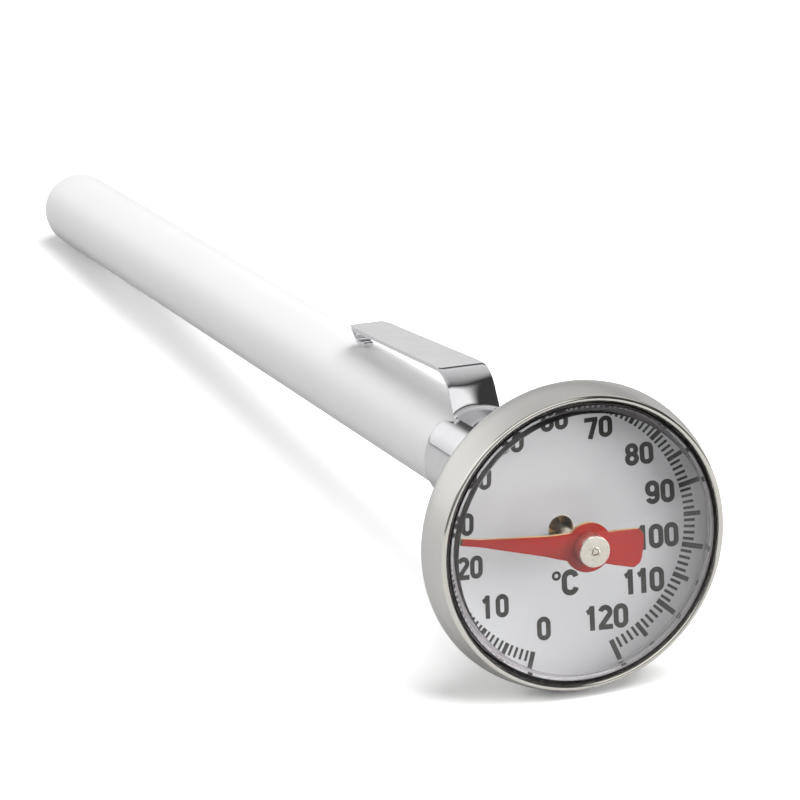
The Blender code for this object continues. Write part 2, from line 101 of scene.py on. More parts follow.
# The printed numerals don't stand on one true circle: how far each is off it, right and down.
NUMERAL_NUDGE = {
    0: (0.54, -0.17), 10: (-0.36, -0.50), 20: (-0.28, -0.75), 30: (-0.60, -0.60), 40: (-0.30, -0.65),
    50: (-0.20, -0.75), 60: (0.0, -1.0), 70: (0.0, -0.43), 80: (0.26, 0.02), 90: (0.09, -0.09),
    100: (-0.27, -0.43), 110: (0.27, -0.52), 120: (0.36, -0.26),
}

# How finely round pieces and bends are drawn, and which edges stay sharp
ROUND = 192
STEM_ROUND = 96
EASE_STEPS = 4
BEND_STEPS = 10
STRAIGHT_BEND = math.radians(150)  # a corner wider than this stays as it is
SMOOTH_ANGLE = math.radians(35)
BEVEL_ANGLE = math.radians(50)
ON_AXIS = 1e-6
CUT_SHARE = 0.45         # the most of a side that one eased corner may take
BEND_SHARE = 0.49        # the same for a bend in a path


# ---------------------------------------------------------------- frame

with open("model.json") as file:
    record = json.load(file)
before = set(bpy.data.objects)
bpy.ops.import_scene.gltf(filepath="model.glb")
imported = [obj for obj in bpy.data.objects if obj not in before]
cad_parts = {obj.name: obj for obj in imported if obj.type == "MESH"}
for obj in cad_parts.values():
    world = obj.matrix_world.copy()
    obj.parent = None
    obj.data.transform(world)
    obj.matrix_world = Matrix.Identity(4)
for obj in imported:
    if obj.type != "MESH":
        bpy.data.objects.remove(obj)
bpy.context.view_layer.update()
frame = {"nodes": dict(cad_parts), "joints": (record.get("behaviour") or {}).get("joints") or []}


def frame_on(joint_name):
    """A frame on a joint's axis, with +Z along it and X kept level."""
    joint = next(joint for joint in frame["joints"] if joint["name"] == joint_name)
    along = Vector(joint["axis"]).normalized()
    level = Vector((along.y, -along.x, 0)).normalized()
    placed = Matrix((level, along.cross(level), along)).transposed().to_4x4()
    placed.translation = Vector(joint["pos_m"])
    return placed


STEM_AXIS = frame_on("pointer_turn")
SHEATH_AXIS = frame_on("clip_turn")


# ---------------------------------------------------------------- materials

NOISE_LOW = 0.3
NOISE_HIGH = 0.7
RELIEF_DEPTH = 0.02      # millimetres
ACRYLIC_TINT = (0.985, 0.99, 0.99, 1.0)
ACRYLIC_HAZE = 0.012
ACRYLIC_IOR = 1.49
ACRYLIC_GLOSS = 0.25
ACRYLIC_SHADOW = (0.93, 0.93, 0.93, 1.0)


def new_material(name):
    material = bpy.data.materials.new(name)
    material.use_nodes = True
    nodes = material.node_tree.nodes
    return material, nodes, material.node_tree.links, nodes["Principled BSDF"]


def texture_space(nodes, links, grain):
    """A coordinate socket whose noise runs the way the piece was worked."""
    coordinates = nodes.new("ShaderNodeTexCoord")
    if grain == "turned":
        split = nodes.new("ShaderNodeSeparateXYZ")
        links.new(coordinates.outputs["Object"], split.inputs[0])
        square_x = math_node(nodes, links, "MULTIPLY", split.outputs["X"], split.outputs["X"])
        square_y = math_node(nodes, links, "MULTIPLY", split.outputs["Y"], split.outputs["Y"])
        total = math_node(nodes, links, "ADD", square_x, square_y)
        radius = math_node(nodes, links, "SQRT", total)
        join = nodes.new("ShaderNodeCombineXYZ")
        links.new(radius, join.inputs["X"])
        links.new(split.outputs["Z"], join.inputs["Z"])
        return join.outputs[0]
    mapping = nodes.new("ShaderNodeMapping")
    stretch = {"even": (1.0, 1.0, 1.0), "drawn": (1.0, 1.0, 0.04), "strip": (1.0, 1.0, 0.08)}
    mapping.inputs["Scale"].default_value = stretch[grain]
    links.new(coordinates.outputs["Object"], mapping.inputs["Vector"])
    return mapping.outputs["Vector"]


def math_node(nodes, links, operation, first, second=None):
    node = nodes.new("ShaderNodeMath")
    node.operation = operation
    links.new(first, node.inputs[0])
    if second is not None:
        links.new(second, node.inputs[1])
    return node.outputs[0]


def noise(nodes, links, space, cells_per_mm, detail=3.0):
    node = nodes.new("ShaderNodeTexNoise")
    node.inputs["Scale"].default_value = cells_per_mm / MM
    node.inputs["Detail"].default_value = detail
    links.new(space, node.inputs["Vector"])
    return node.outputs["Fac"]


def spread(nodes, links, source, low, high):
    """The middle of a noise, where nearly all of it lies, stretched to run from low to high."""
    node = nodes.new("ShaderNodeMapRange")
    node.inputs["From Min"].default_value = NOISE_LOW
    node.inputs["From Max"].default_value = NOISE_HIGH
    node.inputs["To Min"].default_value = low
    node.inputs["To Max"].default_value = high
    links.new(source, node.inputs["Value"])
    return node.outputs["Result"]


def mixed_colour(nodes, links, factor, first, second):
    node = nodes.new("ShaderNodeMix")
    node.data_type = "RGBA"
    links.new(factor, node.inputs["Factor"])
    node.inputs["A"].default_value = (*first, 1.0)
    node.inputs["B"].default_value = (*second, 1.0)
    return node.outputs["Result"]


def surface(name, colour, other, roughness, metallic=0.0, grain="even", cells=3.0, patch=0.25, bump=0.02,
            specular=0.5):
    """A finish: two tones in soft patches, fine grain in the roughness, and the same grain as relief."""
    material, nodes, links, shader = new_material(name)
    space = texture_space(nodes, links, grain)
    even = texture_space(nodes, links, "even")
    fine = noise(nodes, links, space, cells)
    wide = noise(nodes, links, even, patch, 2.0)
    tone = spread(nodes, links, wide, 0.0, 1.0)
    links.new(mixed_colour(nodes, links, tone, colour, other), shader.inputs["Base Color"])
    links.new(spread(nodes, links, fine, *roughness), shader.inputs["Roughness"])
    relief = nodes.new("ShaderNodeBump")
    relief.inputs["Strength"].default_value = bump
    relief.inputs["Distance"].default_value = RELIEF_DEPTH * MM
    links.new(fine, relief.inputs["Height"])
    links.new(relief.outputs["Normal"], shader.inputs["Normal"])
    shader.inputs["Metallic"].default_value = metallic
    shader.inputs["Specular IOR Level"].default_value = specular
    return material


def clear_material():
    """Clear acrylic that lets the lamps through to the dial."""
    material, nodes, links, shader = new_material("clear_acrylic_polished")
    space = texture_space(nodes, links, "even")
    haze = noise(nodes, links, space, 0.15, 1.0)
    links.new(spread(nodes, links, haze, 0.0, ACRYLIC_HAZE), shader.inputs["Roughness"])
    shader.inputs["Base Color"].default_value = ACRYLIC_TINT
    shader.inputs["Transmission Weight"].default_value = 1.0
    shader.inputs["IOR"].default_value = ACRYLIC_IOR
    shader.inputs["Specular IOR Level"].default_value = ACRYLIC_GLOSS
    path = nodes.new("ShaderNodeLightPath")
    through = nodes.new("ShaderNodeBsdfTransparent")
    through.inputs["Color"].default_value = ACRYLIC_SHADOW
    mix = nodes.new("ShaderNodeMixShader")
    links.new(path.outputs["Is Shadow Ray"], mix.inputs["Fac"])
    links.new(shader.outputs["BSDF"], mix.inputs[1])
    links.new(through.outputs["BSDF"], mix.inputs[2])
    links.new(mix.outputs["Shader"], nodes["Material Output"].inputs["Surface"])
    return material


satin_steel = surface("satin_steel_turned", (0.80, 0.79, 0.765), (0.76, 0.75, 0.73), (0.34, 0.42),
                      metallic=1.0, grain="turned", cells=6.0, patch=0.1, bump=0.02)
polished_steel = surface("polished_steel_rim", (0.90, 0.87, 0.80), (0.84, 0.81, 0.76), (0.06, 0.14),
                         metallic=1.0, grain="turned", cells=20.0, patch=0.3, bump=0.02)
drawn_steel = surface("drawn_steel_stem", (0.74, 0.74, 0.73), (0.66, 0.66, 0.65), (0.16, 0.28),
                      metallic=1.0, grain="drawn", cells=10.0, patch=0.2, bump=0.04)
ring_steel = surface("dull_ring", (0.34, 0.318, 0.335), (0.29, 0.27, 0.285), (0.42, 0.55),
                     metallic=0.0, grain="turned", cells=12.0, patch=0.3, bump=0.03)
chrome = surface("chrome_strip", (0.88, 0.88, 0.89), (0.82, 0.82, 0.84), (0.03, 0.09),
                 metallic=1.0, grain="strip", cells=6.0, patch=0.4, bump=0.012)
brass = surface("brass_machined", (0.72, 0.52, 0.24), (0.56, 0.40, 0.18), (0.22, 0.36),
                metallic=1.0, grain="turned", cells=14.0, patch=0.6, bump=0.04)
nickel = surface("pale_nickel_boss", (0.94, 0.885, 0.78), (0.89, 0.84, 0.73), (0.26, 0.34),
                 metallic=1.0, grain="even", cells=6.0, patch=0.5, bump=0.01)
tarnish = surface("tarnished_dent", (0.16, 0.11, 0.055), (0.07, 0.05, 0.03), (0.4, 0.6),
                  metallic=0.6, grain="even", cells=20.0, patch=3.0, bump=0.05)
dial_silver = surface("dial_silver_satin", (0.56, 0.56, 0.57), (0.52, 0.52, 0.53), (0.38, 0.48),
                      metallic=0.35, grain="even", cells=9.0, patch=0.12, bump=0.015)
ink = surface("dial_ink", (0.016, 0.014, 0.013), (0.030, 0.027, 0.024), (0.5, 0.65),
              metallic=0.0, grain="even", cells=8.0, patch=0.8, bump=0.02, specular=0.2)
red = surface("red_enamel_satin", (0.285, 0.010, 0.005), (0.235, 0.008, 0.004), (0.30, 0.42),
              metallic=0.0, grain="even", cells=9.0, patch=0.35, bump=0.03, specular=0.2)
tip_black = surface("black_enamel", (0.02, 0.02, 0.02), (0.03, 0.03, 0.03), (0.35, 0.5),
                    metallic=0.0, grain="even", cells=9.0, patch=0.5, bump=0.03)
rubber = surface("black_rubber_matt", (0.012, 0.011, 0.011), (0.02, 0.019, 0.018), (0.5, 0.7),
                 metallic=0.0, grain="even", cells=10.0, patch=0.6, bump=0.08)
plastic = surface("white_moulded_plastic", (0.76, 0.755, 0.755), (0.735, 0.735, 0.74), (0.30, 0.38),
                  metallic=0.0, grain="even", cells=2.2, patch=0.08, bump=0.02)
bimetal = surface("bimetal_strip", (0.58, 0.50, 0.40), (0.46, 0.40, 0.34), (0.25, 0.4),
                  metallic=1.0, grain="drawn", cells=12.0, patch=0.5, bump=0.04)
acrylic = clear_material()


# ---------------------------------------------------------------- drawing tools

INK_HEIGHT = 0.012       # the ink's face above the dial
INK_THICKNESS = INK_HEIGHT * 0.8
LAYER_STEP = 0.001       # strokes that cross stand this far above one another


def arc(centre_r, centre_z, radius, start, end, steps):
    """Part of a circle in a (radius, depth) outline; 0 degrees points outwards and 90 to the tip."""
    points = []
    for i in range(steps + 1):
        angle = math.radians(start + (end - start) * i / steps)
        points.append((centre_r + radius * math.cos(angle), centre_z + radius * math.sin(angle)))
    return points


def dome(apex_z, curve_r, rim_r, steps):
    """A spherical cap in a (radius, depth) outline, from its apex on the axis to its rim."""
    points = []
    for i in range(steps + 1):
        r = rim_r * i / steps
        points.append((r, apex_z + curve_r - math.sqrt(curve_r**2 - r**2)))
    return points


def eased(points, radius, closed=True):
    """The same outline with each corner rounded; a corner on the axis stays."""
    out = []
    count = len(points)
    for i, point in enumerate(points):
        here = Vector(point)
        before = Vector(points[i - 1])
        after = Vector(points[(i + 1) % count])
        ends = not closed and i in (0, count - 1)
        to_before = before - here
        to_after = after - here
        if ends or here.x == 0.0 or to_before.length == 0.0 or to_after.length == 0.0:
            out.append(tuple(here))
            continue
        bend = to_before.angle(to_after)
        if bend > STRAIGHT_BEND:
            out.append(tuple(here))
            continue
        cut = min(radius / math.tan(bend / 2), to_before.length * CUT_SHARE, to_after.length * CUT_SHARE)
        first = here + to_before.normalized() * cut
        last = here + to_after.normalized() * cut
        for k in range(EASE_STEPS + 1):
            t = k / EASE_STEPS
            curve = first * (1 - t) ** 2 + here * 2 * t * (1 - t) + last * t**2
            out.append(tuple(curve))
    return out


def finish_piece(name, cage, materials, body, nodes, smooth=True, axis=STEM_AXIS):
    """Turns a bmesh drawn in millimetres into a named piece that rides on a body."""
    mesh = bpy.data.meshes.new(name)
    bmesh.ops.scale(cage, vec=(MM, MM, MM), verts=cage.verts)
    cage.to_mesh(mesh)
    cage.free()
    for material in materials:
        mesh.materials.append(material)
    if smooth:
        mesh.shade_smooth()
        mesh.set_sharp_from_angle(angle=SMOOTH_ANGLE)
    piece = bpy.data.objects.new(name, mesh)
    bpy.context.scene.collection.objects.link(piece)
    piece.matrix_world = axis
    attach(piece, body)
    if nodes:
        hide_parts(*nodes)
    return piece


def ease_edges(piece, width, segments):
    bevel = piece.modifiers.new("edge", "BEVEL")
    bevel.width = width * MM
    bevel.segments = segments
    bevel.limit_method = "ANGLE"
    bevel.angle_limit = BEVEL_ANGLE


def turned_cage(profile, sides=ROUND):
    """A closed (radius, depth) outline spun round the axis; points on the axis become poles."""
    cage = bmesh.new()
    rings = []
    for r, z in profile:
        if r < ON_AXIS:
            rings.append([cage.verts.new((0, 0, z))])
            continue
        ring = []
        for i in range(sides):
            angle = math.tau * (i + 0.5) / sides
            ring.append(cage.verts.new((r * math.cos(angle), r * math.sin(angle), z)))
        rings.append(ring)
    pairs = list(zip(rings, rings[1:]))
    if not (len(rings[0]) == 1 and len(rings[-1]) == 1):
        pairs.append((rings[-1], rings[0]))
    for first, second in pairs:
        for i in range(sides):
            j = (i + 1) % sides
            corners = [first[i % len(first)], first[j % len(first)],
                       second[j % len(second)], second[i % len(second)]]
            unique = list(dict.fromkeys(corners))
            if len(unique) > 2:
                cage.faces.new(unique)
    bmesh.ops.recalc_face_normals(cage, faces=cage.faces)
    return cage


def turned(name, profile, material, body, nodes, sides=ROUND, axis=STEM_AXIS):
    return finish_piece(name, turned_cage(profile, sides), [material], body, nodes, axis=axis)


def ribbon(cage, points, width, z, closed=False):
    """A flat stroke of ink, of even width, that follows (x, y) points."""
    count = len(points)
    sides = []
    for i, point in enumerate(points):
        before = Vector(points[i - 1] if closed or i > 0 else points[i])
        after = Vector(points[(i + 1) % count] if closed or i < count - 1 else points[i])
        direction = (after - before).normalized()
        across = Vector((-direction.y, direction.x)) * (width / 2)
        here = Vector(point)
        sides.append((here + across, here - across))
    top = [[cage.verts.new((p.x, p.y, z)) for p in pair] for pair in sides]
    base = [[cage.verts.new((p.x, p.y, z + INK_THICKNESS)) for p in pair] for pair in sides]
    steps = count if closed else count - 1
    for i in range(steps):
        j = (i + 1) % count
        cage.faces.new((top[i][0], top[i][1], top[j][1], top[j][0]))
        cage.faces.new((base[i][1], base[i][0], base[j][0], base[j][1]))
        cage.faces.new((top[i][0], top[j][0], base[j][0], base[i][0]))
        cage.faces.new((top[j][1], top[i][1], base[i][1], base[j][1]))
    if not closed:
        cage.faces.new((top[0][1], top[0][0], base[0][0], base[0][1]))
        cage.faces.new((top[-1][0], top[-1][1], base[-1][1], base[-1][0]))


# ---------------------------------------------------------------- head

BOWL_EDGE_INSET = 0.09
BOWL_EDGE_BEHIND = 0.4
FLANK_STEPS = 20
POLISH_MARGIN = 0.05     # the polish ends this far behind the rolled rim
LINING_STEP_IN = 0.35
RIM_SHEET = 0.2
LENS_EDGE = 0.1          # the crystal's flat edge round its hollow
# The rings inside the rim: distances out from the crystal, in front of its shoulder and behind the bead
SLEEVE_IN = 0.06
SLEEVE_OUT = 0.13
RIM_CLEARANCE = 0.06
LIP_LENGTH = 0.28
FOOT_CLEARANCE = 0.05
FOOT_FRONT = 0.4
FOOT_BACK = 0.1
LIP_TO_SKIRT = 0.01
SPACER_PLAY = 0.1
THIN_EASE = 0.02
SHEET_EASE = 0.03
EDGE_EASE = 0.05
DIAL_HOLE_EDGE = 0.02    # faces this close to the hole are bare brass


def bowl_arc():
    """Radius, depth of the centre and first angle of the arc that the back of the case follows."""
    edge_r = CASE_R - BOWL_EDGE_INSET
    edge_z = CASE_WIDE_DEPTH + BOWL_EDGE_BEHIND
    run = edge_r - CASE_BACK_R
    rise = CASE_DEPTH - edge_z
    radius = (run**2 + rise**2) / (2 * rise)
    centre_z = CASE_DEPTH - radius
    return radius, centre_z, math.degrees(math.atan2(edge_z - centre_z, run))


def build_case():
    """The pressed case: a polished rolled rim, a satin side and a dished back."""
    bead = arc(RIM_R, BEAD_R, BEAD_R, start=180.0, end=340.0, steps=16)
    start_r, start_z = bead[-1]
    flank = []
    for i in range(1, FLANK_STEPS + 1):
        t = i / FLANK_STEPS
        r = start_r + (CASE_R - start_r) * math.sin(t * math.pi / 2)
        flank.append((r, start_z + (CASE_WIDE_DEPTH - start_z) * t))
    radius, centre_z, start = bowl_arc()
    bowl = arc(CASE_BACK_R, centre_z, radius, start, end=90.0, steps=32)
    lining = arc(CASE_BACK_R, centre_z, radius - CASE_SHEET, start=90.0, end=start, steps=24)
    inside = [
        (CASE_HOLE_R, CASE_DEPTH),
        (CASE_HOLE_R, CASE_DEPTH - CASE_SHEET),
        *lining,
        (CASE_R - CASE_SHEET, CASE_WIDE_DEPTH),
        (CASE_R - CASE_SHEET - LINING_STEP_IN, CASE_WIDE_DEPTH / 2),
        (RIM_R + BEAD_R - RIM_SHEET, 2 * BEAD_R + RIM_SHEET),
        (RIM_R - BEAD_R, 2 * BEAD_R + RIM_SHEET),
    ]
    cage = turned_cage(bead + flank + bowl + inside)
    for face in cage.faces:
        middle = face.calc_center_median()
        face.material_index = 1 if middle.z < start_z + POLISH_MARGIN else 0
    finish_piece("case_shell_shown", cage, [satin_steel, polished_steel], "head", ["case_shell"])


def build_crystal():
    front = dome(CRYSTAL_APEX, CRYSTAL_FRONT_CURVE, CRYSTAL_R, steps=48)
    back = dome(CRYSTAL_INNER_APEX, CRYSTAL_BACK_CURVE, CRYSTAL_INNER_R, steps=40)
    shoulder = [
        (CRYSTAL_R, CRYSTAL_SHOULDER_FRONT),
        (CRYSTAL_SHOULDER_R, CRYSTAL_SHOULDER_FRONT),
        (CRYSTAL_SHOULDER_R, CRYSTAL_SHOULDER_BACK),
        (CRYSTAL_INNER_R + LENS_EDGE, CRYSTAL_SHOULDER_BACK),
    ]
    turned("crystal_shown", front + shoulder + back[::-1], acrylic, "head", ["crystal"])


def box_profile(inner_r, outer_r, front, back, ease=EDGE_EASE):
    corners = [(inner_r, front), (outer_r, front), (outer_r, back), (inner_r, back)]
    return eased(corners, ease)


def build_inside_rings():
    """The gasket's lip and foot, the rim's steel skirt, and the ring that holds the dial down."""
    inner_r = CRYSTAL_R + SLEEVE_IN
    sleeve_r = CRYSTAL_R + SLEEVE_OUT
    foot_r = RIM_R - BEAD_R - RIM_CLEARANCE
    lip_back = BEAD_R + LIP_LENGTH
    foot_front = CRYSTAL_SHOULDER_FRONT - FOOT_FRONT
    foot_back = CRYSTAL_SHOULDER_FRONT - FOOT_BACK
    lip = box_profile(inner_r, sleeve_r, BEAD_R, lip_back, THIN_EASE)
    turned("crystal_gasket_lip", lip, rubber, "head", ["crystal_gasket"])
    foot = box_profile(sleeve_r + FOOT_CLEARANCE, foot_r, foot_front, foot_back, SHEET_EASE)
    turned("crystal_gasket_foot", foot, rubber, "head", ["crystal_gasket"])
    skirt = box_profile(inner_r, sleeve_r, lip_back + LIP_TO_SKIRT, foot_back, THIN_EASE)
    turned("case_rim_skirt", skirt, ring_steel, "head", ())
    spacer_front = CRYSTAL_SHOULDER_BACK + SPACER_PLAY
    spacer = box_profile(SPACER_IN_R, SPACER_OUT_R, spacer_front, DIAL_FRONT - SPACER_PLAY)
    turned("dial_spacer_ring_shown", spacer, ring_steel, "head", ["dial_spacer_ring"])


def polar(radius, turn_degrees):
    """A point on the dial, given clockwise from the top."""
    angle = math.radians(turn_degrees)
    return (radius * math.sin(angle), -radius * math.cos(angle))


def scale_turn(celsius):
    """How far clockwise from the top a temperature stands on the dial, in degrees."""
    return DIAL_TURN + (celsius - SCALE_MIDDLE_C) * DEGREES_PER_DEGREE_C


def build_dial():
    profile = box_profile(DIAL_HOLE_R, DIAL_R, DIAL_FRONT, DIAL_FRONT + DIAL_SHEET, SHEET_EASE)
    cage = turned_cage(profile)
    for face in cage.faces:
        middle = face.calc_center_median()
        face.material_index = 1 if math.hypot(middle.x, middle.y) < DIAL_HOLE_R + DIAL_HOLE_EDGE else 0
    finish_piece("dial_plate_shown", cage, [dial_silver, brass], "head", ["dial_plate"])

    marks = bmesh.new()
    for celsius in range(FIRST_C, LAST_C + 1):
        rank = next(step for step in (10, 5, 1) if celsius % step == 0)
        heading = scale_turn(celsius)
        ends = [polar(TICK_IN_R, heading), polar(TICK_OUT_R[rank], heading)]
        ribbon(marks, ends, TICK_WIDTH[rank], DIAL_FRONT - INK_HEIGHT)
    for celsius in range(FIRST_C, LAST_C + 1, 10):
        x, y = polar(NUMERAL_R, scale_turn(celsius))
        right, lower = NUMERAL_NUDGE[celsius]
        write_number(marks, str(celsius), x + right, y + lower)
    write_unit(marks)
    bmesh.ops.recalc_face_normals(marks, faces=marks.faces)
    finish_piece("dial_marks", marks, [ink], "head", (), smooth=False)


# ---------------------------------------------------------------- numerals

# Numerals are drawn with a round pen of STROKE width in a box of these half sizes, +y up.
STROKE = 0.40
HALF_W = 0.375
HALF_H = 0.755
ADVANCE = 1.22
NARROW_ADVANCE = 1.02
LOOSE_TEN = 0.50         # the 10 is set wider than the rest
CURVE_STEPS = 14

# The unit mark: its C and the small ring up and to the left of it
UNIT_X = 0.68
UNIT_Y = 4.35
UNIT_HALF_W = 0.48
UNIT_HALF_H = 0.80
UNIT_STROKE = 0.44
UNIT_GAP = 12            # degrees that the C stays open, above and below its middle
DEGREE_LEFT = 1.12
DEGREE_UP = 0.62
DEGREE_R = 0.27
DEGREE_STROKE = 0.22


def sweep(cx, cy, rx, ry, start, end):
    """Part of an ellipse; 0 degrees points right and 90 up."""
    points = []
    for i in range(CURVE_STEPS + 1):
        angle = math.radians(start + (end - start) * i / CURVE_STEPS)
        points.append((cx + rx * math.cos(angle), cy + ry * math.sin(angle)))
    return points


def oval(low, high, half_w=HALF_W):
    """A closed stroke with round ends and straight sides."""
    r = min(half_w, (high - low) / 2)
    return sweep(0, high - r, half_w, r, 0, 180) + sweep(0, low + r, half_w, r, 180, 360)


def strokes_of(character):
    """Strokes of one numeral, as (points, closed); the last line draws the 8."""
    w, h = HALF_W, HALF_H
    edge = STROKE / 2
    if character == "0":
        return [(oval(-h, h), True)]
    if character == "1":
        return [([(0.08, -h - edge), (0.08, h + edge)], False),
                ([(0.16, h + 0.10), (-0.12, h - 0.20), (-0.34, h - 0.30)], False)]
    if character == "2":
        hook = sweep(0, h - w, w, w, 165, -25)
        return [(hook + [(-w + 0.02, -h + 0.1)], False),
                ([(-w - edge * 0.9, -h), (w + edge, -h)], False)]
    if character == "3":
        top = sweep(0, h - 0.36, w * 0.92, 0.36, 160, -90)
        bottom = sweep(0, -h + 0.39, w, 0.39, 90, -160)
        return [(top, False), (bottom, False), ([(-0.12, 0.03), (0.05, 0.03)], False)]
    if character == "4":
        return [([(0.14, -h - edge), (0.14, h + edge)], False),
                ([(0.06, h + 0.1), (-w - 0.03, -0.28)], False),
                ([(-w - edge * 0.9, -0.36), (w + edge, -0.36)], False)]
    if character == "5":
        return [([(w + 0.1, h), (-w + 0.02, h)], False),
                ([(-w + 0.06, h + edge), (-w + 0.02, 0.0)], False),
                (sweep(0, -h + 0.46, w, 0.46, 140, -155), False)]
    if character in "69":
        bowl = oval(-h, 0.16)
        stem = [(-w, -0.2), (-w, h - w)] + sweep(0, h - w, w, w, 180, 15)
        flip = 1 if character == "6" else -1
        return [([(x * flip, y * flip) for x, y in bowl], True),
                ([(x * flip, y * flip) for x, y in stem], False)]
    if character == "7":
        return [([(-w - edge, h), (w + edge * 0.9, h)], False),
                ([(w, h - 0.05), (-0.1, -h - edge)], False)]
    return [(oval(0.02, h, w * 0.9), True), (oval(-h, 0.02), True)]


def write_number(cage, text, x, y):
    widths = [NARROW_ADVANCE if character == "1" else ADVANCE for character in text]
    if text == "10":
        widths[0] += LOOSE_TEN
    total = sum(widths)
    pen = -total / 2
    for place, (character, width) in enumerate(zip(text, widths)):
        middle = pen + width / 2
        for layer, (points, closed) in enumerate(strokes_of(character)):
            placed = [(x + middle + px, y - py) for px, py in points]
            ribbon(cage, placed, STROKE, DIAL_FRONT - INK_HEIGHT - LAYER_STEP * layer, closed)
        pen += width


def write_unit(cage):
    """The degree ring and the C below the middle of the dial."""
    half_w, half_h = UNIT_HALF_W, UNIT_HALF_H
    top = sweep(0, half_h - half_w, half_w, half_w, UNIT_GAP, 180)
    bottom = sweep(0, -half_h + half_w, half_w, half_w, 180, 360 - UNIT_GAP)
    placed = [(UNIT_X + px, UNIT_Y - py) for px, py in top + bottom]
    ribbon(cage, placed, UNIT_STROKE, DIAL_FRONT - INK_HEIGHT)
    ring = sweep(0, 0, DEGREE_R, DEGREE_R, 0, 360)[:-1]
    placed = [(UNIT_X - DEGREE_LEFT + px, UNIT_Y - DEGREE_UP - py) for px, py in ring]
    ribbon(cage, placed, DEGREE_STROKE, DIAL_FRONT - INK_HEIGHT, True)


# ---------------------------------------------------------------- pointer

TIP_BLACK = 0.16         # length of the black end of the tip
POINTER_BEND = POINTER_DISC_R + 0.6
BLADE_ROOT_HALF = 1.15
TAIL_ROOT_HALF = 1.30
DISC_STEPS = 24
TAIL_EASE = 0.12
POINTER_BEVEL = 0.03
SIDE_NORMAL = 0.6        # faces that look along the axis less than this are the cut edge
CUT_TOLERANCE = 1e-5
HUB_BORE_PLAY = 0.1
HUB_SEAT_GAP = 0.02
HUB_EASE = 0.06
# The spindle's staked end: (radius, depth) of each ring, from its skirt in to the bottom of the dent
STAKED_RINGS = [(0.50, 0.06), (0.50, 0.0), (0.36, -0.01), (0.29, -0.04), (0.23, 0.04), (0.14, 0.13),
                (0.06, 0.09)]
STAKED_SIDES = 40
STAKED_ROUND_RINGS = 2   # the outer rings stay round; the rest are ragged
# What makes the inner rings ragged: (waves in a turn, share of the radius, phase)
STAKED_WAVES = [(3, 0.16, 0.6), (5, 0.10, 2.1), (9, 0.05, 0.0)]
STAKED_SLIP = 0.05
STAKED_LIFT = 0.025
STAKED_LIFT_WAVES = 4
DENT_R = 0.31


def pointer_half():
    """Right half of the pointer with its tip up, from the tip to the tail."""
    half = [(0.0, POINTER_TIP_R), (0.24, POINTER_TIP_R), (0.30, POINTER_TIP_R - 0.08),
            (0.33, POINTER_TIP_R - 1.9), (0.85, 3.6), (1.02, 2.6)]
    join_up = math.degrees(math.asin(BLADE_ROOT_HALF / POINTER_DISC_R))
    join_down = 180.0 - math.degrees(math.asin(TAIL_ROOT_HALF / POINTER_DISC_R))
    for i in range(DISC_STEPS + 1):
        angle = math.radians(join_up + (join_down - join_up) * i / DISC_STEPS)
        half.append((POINTER_DISC_R * math.sin(angle), POINTER_DISC_R * math.cos(angle)))
    tail = [(1.42, -2.3), (1.60, -POINTER_TAIL_R + 0.75), (1.60, -POINTER_TAIL_R + 0.60),
            (1.22, -POINTER_TAIL_R + 0.16), (0.8, -POINTER_TAIL_R + 0.05), (0.0, -POINTER_TAIL_R)]
    return half + eased(tail, TAIL_EASE, closed=False)


def pointer_depth(y):
    """Depth of the pointer's front face: flat at the hub and bent towards the dial beyond it."""
    if y <= POINTER_BEND:
        return POINTER_FRONT
    return POINTER_FRONT + (y - POINTER_BEND) * POINTER_DROP / (POINTER_TIP_R - POINTER_BEND)


def build_pointer():
    half = pointer_half()
    outline = half + [(-x, y) for x, y in reversed(half[1:-1])]
    cage = bmesh.new()
    verts = [cage.verts.new((x, -y, 0)) for x, y in outline]
    cage.faces.new(verts)
    for cut in (POINTER_TIP_R - TIP_BLACK, POINTER_BEND):
        geometry = cage.verts[:] + cage.edges[:] + cage.faces[:]
        bmesh.ops.bisect_plane(cage, geom=geometry, dist=CUT_TOLERANCE, plane_co=(0, -cut, 0),
                               plane_no=(0, 1, 0))
    front = cage.faces[:]
    lifted = bmesh.ops.extrude_face_region(cage, geom=front)
    for vert in [item for item in lifted["geom"] if isinstance(item, bmesh.types.BMVert)]:
        vert.co.z = POINTER_SHEET
    for vert in cage.verts:
        vert.co.z += pointer_depth(-vert.co.y)
    bmesh.ops.recalc_face_normals(cage, faces=cage.faces)
    cage.normal_update()
    for face in cage.faces:
        if abs(face.normal.z) < SIDE_NORMAL:
            face.material_index = 1
        elif -face.calc_center_median().y > POINTER_TIP_R - TIP_BLACK:
            face.material_index = 2
    rotation = Matrix.Rotation(math.radians(scale_turn(REST_READING_C)), 4, "Z")
    bmesh.ops.transform(cage, matrix=rotation, verts=cage.verts)
    pointer = finish_piece("pointer_shown", cage, [red, brass, tip_black], "movement", ["pointer"])
    ease_edges(pointer, POINTER_BEVEL, segments=2)

    hub = [
        (SPINDLE_R + HUB_BORE_PLAY, HUB_FRONT),
        (HUB_R, HUB_FRONT),
        (HUB_R, POINTER_FRONT - HUB_SEAT_GAP),
        (HUB_NECK_R, POINTER_FRONT - HUB_SEAT_GAP),
        (HUB_NECK_R, HUB_BACK),
        (SPINDLE_R + HUB_BORE_PLAY, HUB_BACK),
    ]
    turned("pointer_hub_shown", eased(hub, HUB_EASE), nickel, "movement", ["pointer_hub"])


